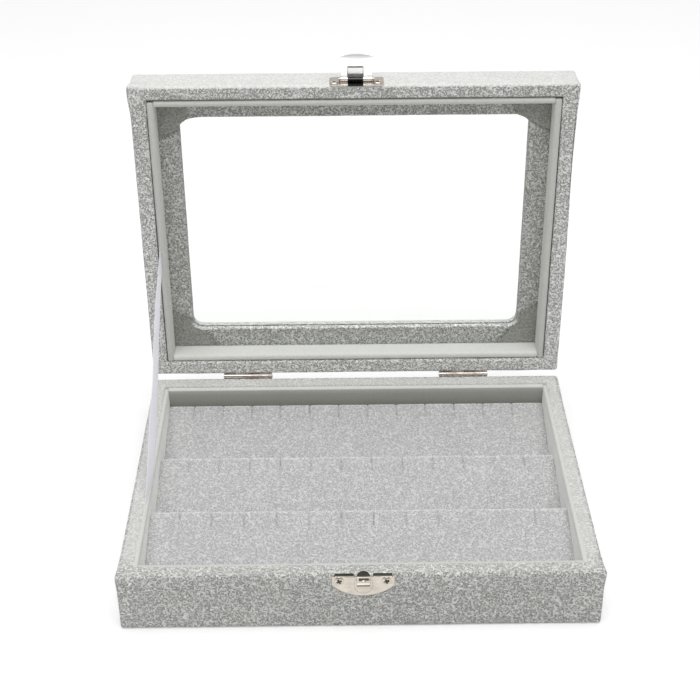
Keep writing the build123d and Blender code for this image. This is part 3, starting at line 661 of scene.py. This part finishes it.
def pad(back, top, shift, seed):
    """Foam pad under velvet: a wedge section with rounded edges, swept across and rounded over at its ends.

    Each slit is a crease that the pile almost closes: its depth falls smoothly with the distance to it."""
    front = back - pad_pitch + 0.1
    crest_r, foot_r = 0.9, 1.0
    fall = math.tan(pad_slope)
    crest = (back - crest_r, top - crest_r * fall - crest_r / math.cos(pad_slope))
    foot = (front + foot_r, top - (back - front - foot_r) * fall - foot_r / math.cos(pad_slope))
    tilt = 90 + math.degrees(pad_slope)
    lean = (math.cos(math.radians(tilt)), math.sin(math.radians(tilt)))
    head = (crest[0] + crest_r * lean[0], crest[1] + crest_r * lean[1])
    toe = (foot[0] + foot_r * lean[0], foot[1] + foot_r * lean[1])
    part = (back - slit_len - 1.0 - head[0]) / (toe[0] - head[0])
    turn = (head[0] + part * (toe[0] - head[0]), head[1] + part * (toe[1] - head[1]))
    section = np.concatenate(
        (
            run((back, floor_z), (back, top - slit_depth - 0.6), 4),
            run((back, top - slit_depth - 0.6), (back, crest[1]), 10),
            bend(crest, crest_r, 0, tilt, 9),
            run(head, turn, 22),
            run(turn, toe, 20),
            bend(foot, foot_r, tilt, 180, 6),
            run((front, foot[1]), (front, floor_z), 4),
            run((front, floor_z), (back, floor_z), 10),
        )
    )
    beside = np.array((-2.2, -1.4, -0.9, -0.6, -0.4, -0.25, -0.12, 0, 0.12, 0.25, 0.4, 0.6, 0.9, 1.4, 2.2))
    end_r = 1.0
    ends = pad_half - end_r * (1 - np.cos(np.linspace(0, np.pi / 2, 6)))
    even = np.linspace(1 - pad_half, pad_half - 1, 84)
    at_slits = (slit_xs[:, None] + shift + beside).ravel()
    xs = np.unique(np.round(np.concatenate((even, at_slits, ends, -ends)), 3))
    off = np.abs(xs[:, None] - slit_xs - shift).min(1)[:, None]
    y, z = (np.broadcast_to(a, (len(xs), len(section))) for a in section.T)
    x = np.broadcast_to(xs[:, None], y.shape)
    flat = np.stack((y, z, x), -1)
    loose = smooth((z - floor_z) / 4)
    crown = 0.25 * np.sin(np.pi * np.clip((y - front) / (back - front), 0, 1)) * loose
    along = smooth((y - back + slit_len + 0.6) / 2)
    dip = 0.16 * np.exp(-((off / 1.0) ** 2)) * along * loose
    wave = (0.14 * ripple(flat, 30, seed) + 0.07 * ripple(flat, 8, seed + 1)) * loose
    z = z + (crown - dip + wave) * (z > floor_z + 0.5)
    crease = smooth((0.42 - off) / 0.42) * smooth((y - back + slit_len) / 0.9)
    z = z - crease * np.clip(z - top + slit_depth, 0, 0.6)
    # Painted highlight along the crest and painted shade beside each slit, in the attribute lay
    edge = np.exp(-(((y - back + 0.4) / 0.9) ** 2)) * (z > top - 1.8)
    lay = 0.34 * edge - 0.07 * np.exp(-((off / 0.6) ** 2)) * along * (z > top - slit_depth)
    near = np.minimum(pad_half - np.abs(xs), end_r)[:, None]
    shrink = end_r - np.sqrt(np.maximum(end_r**2 - (end_r - near) ** 2, 0))
    mid_y, mid_z = (front + back) / 2, (floor_z + top) / 2
    y = y - np.sign(y - mid_y) * np.minimum(shrink, np.abs(y - mid_y))
    z = z - np.sign(z - mid_z) * np.minimum(shrink, np.abs(z - mid_z)) * (z > floor_z + 0.5)
    return np.stack((x, y, z), -1), {"lay": lay}


pad_tops = {"front": 21.2, "middle": 18.6, "back": 18.7}
for row, (place, top) in enumerate(pad_tops.items()):
    grid, marks = pad(tray_front + (row + 1) * pad_pitch, top, slit_shifts[place], 20 + 2 * row)
    cad_nodes = [f"pad_cover_{place}"]
    cover = piece(f"pad_{place}", grid, pad_velvet, "case", cad_nodes, (False, True), marks)


# ---------------------------------------------------------------- the lid


# Height of the pane's outer face over the rim, and the quarter ovals of the window's upper corners
glass_top = 14.4
ovals = [((-window[0], window[2]), (11.0, 4.6)), ((window[0], window[2]), (7.5, 4.4))]


def beyond_window(a):
    """Half width, low and high edge and corner of an outline that lies a little outside of the window."""
    return window[0] + a, window[1] - a, window[2] + a, window_corner + a


def lid_wrap():
    """Velvet of the lid, worked out flat and lofted round the plan.

    It goes along the turn-in, the rounded rim, the wall, the rounded edge, the top and the window's edge.
    Each row has its half width, low and high edge, corner, height and nap."""
    side = np.concatenate(
        (
            run((lid_rim, 9.8), (lid_rim, turn_r), 10),
            bend((lid_rim - turn_r, turn_r), turn_r, 360, 270, 7),
            run((lid_rim - turn_r, 0), (edge_r, 0), 8),
            bend((edge_r, edge_r), edge_r, 270, 180, 10),
            run((0, edge_r), (0, lid_h - edge_r), 14),
            bend((edge_r, lid_h - edge_r), edge_r, 180, 90, 10),
        )
    )
    inset, height = side.T
    rows = np.stack(
        (
            half_w - inset,
            inset,
            2 * half_d - inset + 0.7 * np.clip((inset - 2) / 3, 0, 1) * (height < 10),
            np.maximum(edge_r - 0.2 * inset, 0.6),
            height,
            np.interp(inset, (0, edge_r), (1.0, 0.95)),
        ),
        1,
    )
    edge = (half_w - edge_r, edge_r, 2 * half_d - edge_r, 1.6, lid_h, 0.7)
    opening = (*beyond_window(0.8), lid_h, 0.7)
    drop = bend((0.8, lid_h - 0.8), 0.8, 90, 180, 6)
    over = np.array([(*beyond_window(a), b, 0.6) for a, b in drop])
    wall = run((*window, window_corner, lid_h - 0.8, 0.6), (*window, window_corner, glass_top, 0.6), 5)
    last = [(*window, window_corner, glass_top, 0.6)]
    rows = np.concatenate((rows, run(edge, opening, 18), over, wall, last))
    half, low, high, corner, height, nap = rows.T
    x, s = contour(half, low, high, corner, side=90)
    out = np.maximum(half - window[0], 0)[:, None]
    x, s = fill_corners(x, s, out, ovals, (height > 8)[:, None])
    h = np.broadcast_to(height[:, None], x.shape)
    corners = [
        ((sx * half_w, b), (sx * (half_w - lid_rim), c))
        for sx in (-1, 1)
        for b, c in ((0, lid_rim), (2 * half_d, 2 * half_d - lid_rim))
    ]
    room = 0.12 + 0.53 * smooth((s - 67) / 80)
    h = h + room * np.clip((4 - h) / 2.8, 0, 1) + 0.15 * seam_drop(x, s, corners, 0.7) * (height < 1.2)[:, None]
    grid = np.stack((x, s, h), -1)
    low_h = smooth((9 - h) / 8)
    flare = (1.0 * bump(x, s, (-half_w, 147), (6, 8)) + 0.45 * bump(x, s, (half_w, 147), (6, 8))) * low_h
    bow = 0.6 * (x > half_w - edge_r) * np.exp(-(((s - 108) / 32) ** 2))
    lift = 0.14 * ripple(grid, 38, 3) + 0.07 * ripple(grid, 9, 4) + 0.05 - bow
    grid = grid + normals(grid, (False, True)) * (lift[..., None] + flare[..., None] * (1, 1, 0))
    # Painted light in the attribute lay: on the lid's outer front wall, whose pattern is also fainter, on the
    # rim, most towards the hinge, and on the window's low wall
    front_wall = smooth((s - 148.6) / 0.8) * (out > 8)
    nap = nap[:, None] * (1 - 0.8 * front_wall)
    rim = (height < 1.2)[:, None] * (out < 20) * (np.interp(s, (0, 150), (0.38, 0.15)) + 0.03 * (x > 93))
    lay = rim * (1 - front_wall) + 0.275 * front_wall + 0.7 * (out < 0.9) * smooth((24 - s) / 2)
    return on_lid(skin(grid, pile_t)), both_sides(nap=nap, lay=lay)


grid, marks = lid_wrap()
piece("lid_velvet_wrap", grid, velvet, "lid", ["lid_velvet"], marks=marks)

# Cloth gathered at the window's corners as (x, s) shapes: left top, right top, left low and right low.
# The folds go from their outer to their inner end.
gathers = [
    [(-92, 139), (-89.5, 120.6), (-78.3, 126.4), (-77.2, 129.8), (-73.3, 139)],
    [(71.4, 139), (74.6, 131.4), (77.4, 129.6), (90, 122.6), (90, 139)],
    [(-90, 9), (-67.4, 9), (-73.7, 18.7), (-77.6, 24.1), (-90, 30.2)],
    [(71.0, 9), (91, 9), (91, 33.2), (79.4, 25.3), (75.8, 18.9)],
]
folds = [
    ((-91, 119.8), (-78.8, 126.2)),
    ((-72.6, 139), (-76.9, 130.4)),
    ((71.0, 138), (74.2, 131.7)),
    ((90, 122.8), (77.2, 129.8)),
    ((-89.5, 30.2), (-77.8, 24.2)),
    ((-67.2, 9.5), (-73.4, 18.4)),
    ((90.5, 33.2), (79.4, 25.6)),
    ((70.4, 9.5), (75.4, 17.6)),
]


def window_board():
    """Velvet covered board round the window, lofted round: back, window edge, face and outer edge.

    The cloth is gathered at the window's corners, with painted shade between two folds and in the folds;
    the window's low wall gets painted light and the board above the window a little painted shade."""
    front, back = 10.8, 12.4
    edge = bend((1.0, front + 1.0), 1.0, 180, 270, 7)
    rows = [run((*window, window_corner, back), (*window, window_corner, front + 1.0), 3)]
    rows.append([(*beyond_window(a), b) for a, b in edge])
    near = (*beyond_window(1.0), front)
    outer = (93.6, 6.4, 143.6, 1.0, front)
    behind = (93.6, 6.4, 143.6, 1.0, back)
    rows += [run(near, outer, 26), run(outer, behind, 3)]
    rows.append(run(behind, (*window, window_corner, back), 6))
    half, low, high, corner, height = np.concatenate(rows).T
    x, s = contour(half, low, high, corner, side=110, arc=15)
    out = np.maximum(half - window[0], 0)[:, None]
    x, s = fill_corners(x, s, out, ovals)
    h = np.broadcast_to(height[:, None], x.shape)
    face = (height < front + 1.1)[:, None]
    grid = np.stack((x, s, h + 0.45 * seam_drop(x, s, folds, 0.4) * face), -1)
    dark = np.sum([patch(x, s, gather, 1.2) for gather in gathers], 0) * face
    puff = 0.25 * dark
    lift = (0.12 * ripple(grid, 30, 5) + 0.06 * ripple(grid, 8, 6) + 0.02 + puff) * (height < back)[:, None]
    grid = grid + normals(grid, (True, True)) * lift[..., None]
    return on_lid(grid), {
        "nap": 0.95 - 0.5 * np.clip(dark, 0, 1),
        "lay": 0.7 * (out < 0.9) * smooth((24 - s) / 2)
        - 0.38 * dark
        - 0.3 * seam_drop(x, s, folds, 0.5) * face
        - 0.06 * smooth((s - window[2]) / 2),
    }


grid, marks = window_board()
piece("window_board_velvet", grid, velvet, "lid", ["window_frame"], marks=marks)

# Inside of the lid, as half width, low and high edge, and its liners
lid_liner = (92.6, 7.4, 142.6)
lid_liner_t = 3.1
lid_tray = 10.8
lid_sides = (("left", -lid_liner[0] + lid_liner_t / 2), ("right", lid_liner[0] - lid_liner_t / 2))
for seed, (side, x) in enumerate(lid_sides):
    grid = strip(lid_liner_t / 2, 0.5, lid_tray, 1.5, lid_liner[1], lid_liner[2], 30 + seed)
    across, along, up = np.moveaxis(grid, -1, 0)
    liner(on_lid(np.stack((x + across, along, up), -1)), "lid", side)
lid_reach = lid_liner[0] - lid_liner_t
# lit is painted light, on the back liner only
lid_ends = (
    ("back", lid_liner[1] + lid_liner_t / 2, lid_liner_t / 2, 0.25),
    ("front", lid_liner[2] + 0.8 - lid_liner_t / 2, lid_liner_t / 2 - 0.2, 0.0),
)
for seed, (side, s, half, lit) in enumerate(lid_ends):
    grid = strip(half, 0.5, lid_tray, 1.3, -lid_reach, lid_reach, 32 + seed)
    across, along, up = np.moveaxis(grid, -1, 0)
    liner(on_lid(np.stack((along, s + across, up), -1)), "lid", side, np.full(up.shape, lit))


# ---------------------------------------------------------------- hinges, clasp and ribbon


def dome(centre, out, radius, height, shank, cross=0.0):
    """Domed head on a shank: rings of the given radius and rise, the dome a quarter ellipse, closed on poles.

    A cross recess lowers the points within either of two crossing bars, by a smooth step at their sides.
    A head with a cross comes with its attribute lay: painted shade in the recess and towards its upper rear
    side."""
    out = np.array(out, float)
    side = np.array((1.0, 0, 0))
    other = np.cross(out, side)
    turn = np.linspace(0, 2 * np.pi, 48, endpoint=False)
    rise = np.linspace(0, 0.97, 18)
    crown = radius * np.array((0.16, 0.08, 0.02))
    size = np.concatenate((np.full(3, shank[0]), radius * np.sqrt(1 - rise**2), crown))
    up = np.concatenate((np.linspace(-shank[1], 0, 3), 0.12 + rise * height, np.full(3, 0.12 + height)))
    a, b = size[:, None] * np.cos(turn), size[:, None] * np.sin(turn)
    tilt = math.radians(28)
    u, v = a * math.cos(tilt) + b * math.sin(tilt), b * math.cos(tilt) - a * math.sin(tilt)
    bars = [
        smooth((0.5 - np.abs(p)) / 0.2) * smooth((0.68 * radius - np.abs(q)) / 0.3)
        for p, q in ((u, v), (v, u))
    ]
    drop = cross * np.maximum(*bars) * (up > 0.13)[:, None]
    spread = a[..., None] * side + b[..., None] * other
    grid = np.array(centre) + spread + (up[:, None] - drop)[..., None] * out
    if not cross:
        return grid
    arc = np.clip(spread @ np.array((0, 0.8, 0.6)) / radius, 0, 1) ** 2 * (up > 0.12)[:, None]
    return grid, -0.92 * np.maximum(*bars) * (up > 0.13)[:, None] - 0.5 * arc


# Radius, rise, and the shank's radius and length; a screw also has the depth of its cross
nail = (1.1, 0.35, (0.5, 4.0))
screw = (1.95, 0.75, (0.8, 4.0), 0.55)
hinge_mid, nail_step = 53.3, 8.0
nail_xs = [side * hinge_mid + step for side in (-1, 1) for step in (-nail_step, nail_step)]
base_nails = [dome((x, 75.5, 22.5), (0, 1, 0), *nail) for x in nail_xs]
lid_nails = [dome((x, 81.35, 28.35), (0, 0, -1), *nail) for x in nail_xs]
piece("hinge_nails_base", base_nails, bronze, "case", loops=(False, True))
piece("hinge_nails_lid", lid_nails, bronze, "lid", loops=(False, True))
catch_heads = [dome((x, -75.55, 25.3), (0, -1, 0), *screw) for x in (-8.9, 10.4)]
clasp_heads = [dome((x, 79.7, 179.15), (0, 0, 1), *screw) for x in (-9.0, 10.5)]
# Screw heads carry painted shade in the attribute lay
for name, heads, body in (("catch_screws", catch_heads, "case"), ("clasp_screws", clasp_heads, "lid")):
    grids = [head for head, _ in heads]
    marks = {"lay": np.stack([mark for _, mark in heads])}
    piece(f"{name}_domed", grids, nickel, body, [name], (False, True), marks)


def slab(xs, front, back):
    """Sheet metal part: for each x a closed section of (y, z) points, down the front and up the back."""
    section = np.concatenate((front, back[:, ::-1]), 1)
    x = np.broadcast_to(xs[:, None], section.shape[:2])
    return np.concatenate((x[..., None], section), 2)


def band(value, low, high, soft):
    """Soft edged band, 1 between low and high."""
    return smooth(0.5 + (value - low) / soft) * smooth(0.5 + (high - value) / soft)


def columns(half, count, middle, steps):
    """Places across a pressed part: even ones, one beside each end, and one at each step to both sides."""
    inner = [middle + side * step for side in (-1, 1) for step in steps]
    every = np.concatenate((np.linspace(-half, half, count), inner, [0.05 - half, half - 0.05]))
    return np.unique(np.round(every, 2))


def catch():
    """Catch: a plate with a bowed lower edge, two rolled top edges and a pressed tongue with dome and slot.

    The height of the front over the wall is a sum of soft bands in x and height."""
    top, tongue_half = 27.3, 2.75
    xs = columns(12.75, 80, 0.0, (1.7, 1.8, 1.9, 2.3, 2.5, 2.6, 2.7, 2.8, 3.1, 3.3, 4.0, 4.2))
    u = np.linspace(0, 1, 90)
    bow = 17.31
    low = 17.4 + bow - np.sqrt(bow**2 - xs**2)
    roll = band(np.abs(xs), 3.9, 11.9, 0.3)
    bulge = np.sqrt(np.clip(1 - (xs / tongue_half) ** 2, 0, 1))
    high = top + 0.52 * roll + np.where(np.abs(xs) < tongue_half, 0.5 + 2.85 * bulge, 0)
    z = high[:, None] + (low - high)[:, None] * u
    x = np.broadcast_to(xs[:, None], z.shape)
    tongue = band(np.abs(x), -1, tongue_half, 0.2)
    out = 0.6 - 2.4 * roll[:, None] * np.clip(z - top, 0, 0.8)
    out = out + tongue * (0.75 * band(z, 23.4, 40, 0.3) - 0.3 * smooth((z - 27.6) / 0.8))
    slot = band(x, -1.8, 2.2, 0.2) * band(z, 25.5, 27.2, 0.2)
    out = out - 1.3 * slot
    # Painted light in the attribute lay: painted shade round the tongue, in the slot and along the lower edge,
    # a painted shadow under the tongue, painted dark reflections on the rolled edges and the dome, and painted
    # highlights on two bands of the tongue
    ring = np.hypot(x / 3.85, (z - 23.2) / 4.6)
    lay = -0.3 * band(ring, 0.95, 1.03, 0.06) * (z < 27)
    lay = lay - 0.96 * roll[:, None] * band(z, 27.38, 40, 0.15) - 0.9 * tongue * band(z, 28.05, 40, 0.15)
    lay = lay + 0.4 * tongue * (band(z, 27.35, 27.9, 0.15) + band(z, 23.75, 24.6, 0.2))
    lay = lay - 0.78 * tongue * band(z, 22.25, 22.9, 0.2) - 0.7 * slot
    lay = lay - 0.25 * band(z, low[:, None] - 1, low[:, None] + 0.22, 0.1)
    front = np.stack((-half_d - out, z), -1)
    back = np.stack((-half_d - out + 0.45 - 0.15 * (tongue > 0), z), -1)
    return slab(xs + 1.0, front, back), {"lay": np.concatenate((lay, lay[:, ::-1]), 1)}


grid, marks = catch()
piece("catch_plate_pressed", grid, nickel, "case", ["catch_plate"], (False, True), marks)


def flap():
    """Flap: a blade with rolled knuckles, a lip bent back by a squared ramp and a pocket in its middle.

    It is worked out from the pin's axis: v along the blade, and the two faces' distances behind the axis."""
    half, knuckle_r = 7.05, 0.8
    pin_y, pin_z = 81.45, 180.1
    xs = columns(half, 60, -0.5, (3.3, 3.4, 3.5, 3.6, 3.75))
    u = np.linspace(0, 1, 100) ** 1.3
    high = 11.5 - 1.3 * np.abs(xs / half) ** 2.5
    v = high[:, None] - (high + knuckle_r)[:, None] * (1 - u[::-1])
    x = np.broadcast_to(xs[:, None], v.shape)
    round_y = np.sqrt(np.clip(0.64 - v**2, 0, 1))
    front = np.where(v < knuckle_r, np.minimum(0.4, -round_y), 0.4)
    back = np.where(v < 0, round_y, 0.8)
    bent = 0.22 * np.clip((v - 9.4) / 2.1, 0, 1) ** 2
    pocket = band(x, -3.95, 2.95, 0.2) * (v > knuckle_r)
    ramp_y = smooth((5.9 - v) / 1.3)
    deep = 0.4 + 1.85 * ramp_y
    front = front + (deep - front) * pocket * (v < 6)
    outer = 0.8 + 1.9 * smooth((6.2 - v) / 1.3)
    wide = band(x, -4.35, 3.35, 0.2) * (v > knuckle_r)
    barrel = band(x, -3.95, 2.95, 0.2) * (v <= knuckle_r)
    back = back + (outer - back) * wide * (v < 6.4)
    lip = smooth(0.5 + (v - 9.4 - 1.0 * (x / half) ** 2) / 0.3)
    # Painted shade in the attribute lay: in the pocket, darkest near the pin, on the barrel between the
    # knuckles, below the pin's axis and on the lip bent back
    pocket_shade = np.interp(v, (0.8, 1.2, 1.6, 4.6, 5.4), (-0.85, -0.6, -0.2, -0.12, -0.03))
    lay = -0.2 * lip + pocket * pocket_shade * (v < 5.8) - 0.9 * barrel
    lay = lay - 0.1 * (1 - barrel) * smooth((0.2 - v) / 0.5)
    behind = -0.2 * lip
    front, back = (np.stack((pin_y + face + bent, pin_z + v), -1) for face in (front, back))
    return slab(xs + 1.0, front, back), {"lay": np.concatenate((lay, behind[:, ::-1]), 1)}


grid, marks = flap()
piece("clasp_flap_pressed", grid, nickel_painted_bright, "flap", ["clasp_flap"], (False, True), marks)


# Middle line of the ribbon, as places along it and their x, and its turn, as places along it and degrees
ribbon_mid = (
    (0, 2, 10, 18, 34, 50, 66, 90, 106, 116),
    (-92.9, -92.8, -92.2, -92.0, -91.9, -91.6, -92.0, -92.2, -91.9, -91.7),
)
ribbon_turn = (
    (0, 10, 26, 34, 42, 50, 58, 66, 74, 90, 98, 106, 116),
    (0, -8, -10, -13, -10, -6, -6, -7.5, -5.5, -5.5, -3.5, -1, 0),
)

# Lengths held in the base and in the lid, and where the far pole lies along the cloth
held_base = 9.0
held_lid = 5.5
far_pole = 121.0


def ribbon_strip():
    """Satin ribbon: from seam to seam, its width turned a little about its length and slightly cupped."""
    start = np.array((-92.9, -18.6, 27.4))
    end = np.array((-91.7, lid_corner[1], lid_corner[2] + 64.7))
    length = np.linalg.norm(end[1:] - start[1:])
    way = np.array((0, *(end[1:] - start[1:]) / length))
    along = np.linspace(-held_base, length + held_lid, 110)
    width = np.linspace(-5.0, 5.0, 17)
    mid = start + along[:, None] * way
    mid[:, 0] = np.interp(along, *ribbon_mid)
    turn = np.radians(np.interp(along, *ribbon_turn))
    mid[:, 0], turn = (
        np.convolve(np.pad(a, 4, "edge"), np.ones(9) / 9, "valid") for a in (mid[:, 0], turn)
    )
    flat = np.array((0, way[2], -way[1]))
    face = np.array((1.0, 0, 0))
    across = np.cos(turn)[:, None] * flat - np.sin(turn)[:, None] * face
    out = np.cross(across, way)
    cup = 0.25 * smooth((along - 3) / 15) * smooth((length - 3 - along) / 15)
    cupped = cup[:, None] * (1 - (width / 5) ** 2)
    points = mid[:, None] + width[None, :, None] * across[:, None] + cupped[..., None] * out[:, None]
    lift = normals(points, (False, False)) * 0.09
    uv = np.stack(np.broadcast_arrays(width[None, :], along[:, None]), -1)
    front, back = points + lift, (points - lift)[:, ::-1]
    return np.concatenate((front, back), 1), np.concatenate((uv, uv[:, ::-1]), 1), start, end


grid, uv, start, end = ribbon_strip()
uv = np.concatenate((uv.reshape(-1, 2), [(0, -held_base)], [(0, far_pole)]))
ribbon = piece("satin_ribbon", grid, white_satin, None, ["ribbon"], (False, True), uv=uv)
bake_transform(ribbon)

# Materials of the CAD nodes that stay, by the start of their names
finishes = {
    "base_wall": board,
    "base_bottom": board,
    "lid_wall": board,
    "lid_top": board,
    "pad_core": foam,
    "underside_felt": felt,
    "window_glass": glass,
    "hinge": bronze,
    "clasp_plate": clasp_nickel_painted_dark,
    "clasp_pin": shaded_pin_steel,
}
for name, node in nodes.items():
    for prefix, material in finishes.items():
        if name.startswith(prefix):
            node.data.materials.clear()
            node.data.materials.append(material)

# ---------------------------------------------------------------- floor, light and camera


def white_mask(tree):
    """Is this a camera, glossy or transmission ray: the largest of the three."""
    path = add(tree, "LightPath").outputs
    seen = calc(tree, "MAXIMUM", path["Is Camera Ray"], path["Is Glossy Ray"])
    return calc(tree, "MAXIMUM", seen, path["Is Transmission Ray"])


floor_white, tree, out = blank("floor white")
paper = add(tree, "BsdfDiffuse", {"Color": (0.86, 0.86, 0.86, 1.0)})
glow = add(tree, "Emission", {"Color": (1, 1, 1, 1), "Strength": 0.32})
lit = add(tree, "AddShader", {0: paper.outputs[0], 1: glow.outputs[0]})
mix = add(tree, "MixShader", {0: white_mask(tree), 1: paper.outputs[0], 2: lit.outputs[0]})
tree.links.new(mix.outputs[0], out)
mesh = bpy.data.meshes.new("floor")
mesh.from_pydata([(-3, -3, 0), (3, -3, 0), (3, 3, 0), (-3, 3, 0)], [], [(0, 1, 2, 3)])
mesh.materials.append(floor_white)
floor = bpy.data.objects.new("floor", mesh)
bpy.context.scene.collection.objects.link(floor)

world = bpy.data.worlds.new("studio")
bpy.context.scene.world = world
world.use_nodes = True
tree = world.node_tree
tree.nodes.clear()
level = remap(tree, white_mask(tree), (0.45, 1.0))

# Metal mirrors a darker sky high up in front, in the direction of this unit vector
sky_way = (0, -0.62, 0.785)
seen_way = add(tree, "TexCoord").outputs["Generated"]
high = add(tree, "VectorMath", {0: seen_way, 1: sky_way}, operation="DOT_PRODUCT").outputs["Value"]
dim = remap(tree, high, (0.7, 0.03), (0.72, 0.97), interpolation_type="SMOOTHSTEP")
shiny = add(tree, "LightPath").outputs["Is Glossy Ray"]
level = add(tree, "Mix", {0: shiny, 2: level, 3: dim}).outputs[0]
sky = add(tree, "Background", {"Color": (1, 1, 1, 1), "Strength": level})
tree.links.new(sky.outputs[0], tree.nodes.new("ShaderNodeOutputWorld").inputs["Surface"])


def lamp(name, place, aim, size, power):
    """Square soft lamp at a place, turned towards an aim."""
    data = bpy.data.lights.new(name, "AREA")
    data.size = size
    data.energy = power
    thing = bpy.data.objects.new(name, data)
    thing.location = place
    away = np.array(place, float) - np.array(aim, float)
    across = np.cross((0, 1, 0.01), away)
    across /= np.linalg.norm(across)
    away /= np.linalg.norm(away)
    turned = np.stack((across, np.cross(away, across), away), 1)
    thing.rotation_euler = Matrix(turned.tolist()).to_euler()
    bpy.context.scene.collection.objects.link(thing)


lamp("top lamp", (0.0, -0.15, 1.3), (0, 0.03, 0), 1.2, 11.0)

# Camera fitted to the edges of the case: focal length in pixels, turns in degrees and shift in millimetres
photo_px = 700
focal_px = 1438.228
fit_turn = (121.627, -0.361, -0.594)
fit_shift = (3.781, 75.91, 663.347)

camera_data = bpy.data.cameras.new("camera")
camera_data.lens = focal_px / photo_px * 36
camera_data.sensor_width = 36.0
camera = bpy.data.objects.new("camera", camera_data)

a, b, c = (math.radians(t) for t in fit_turn)
turn_x = np.array(((1, 0, 0), (0, math.cos(a), -math.sin(a)), (0, math.sin(a), math.cos(a))))
turn_y = np.array(((math.cos(b), 0, math.sin(b)), (0, 1, 0), (-math.sin(b), 0, math.cos(b))))
turn_z = np.array(((math.cos(c), -math.sin(c), 0), (math.sin(c), math.cos(c), 0), (0, 0, 1)))
to_world = (turn_z @ turn_y @ turn_x).T
camera.location = to_world @ -np.array(fit_shift) * MM
camera.rotation_euler = Matrix((to_world @ np.diag((1, -1, -1))).tolist()).to_euler()
bpy.context.scene.collection.objects.link(camera)
bpy.context.scene.camera = camera
bpy.context.scene.view_settings.view_transform = "Standard"
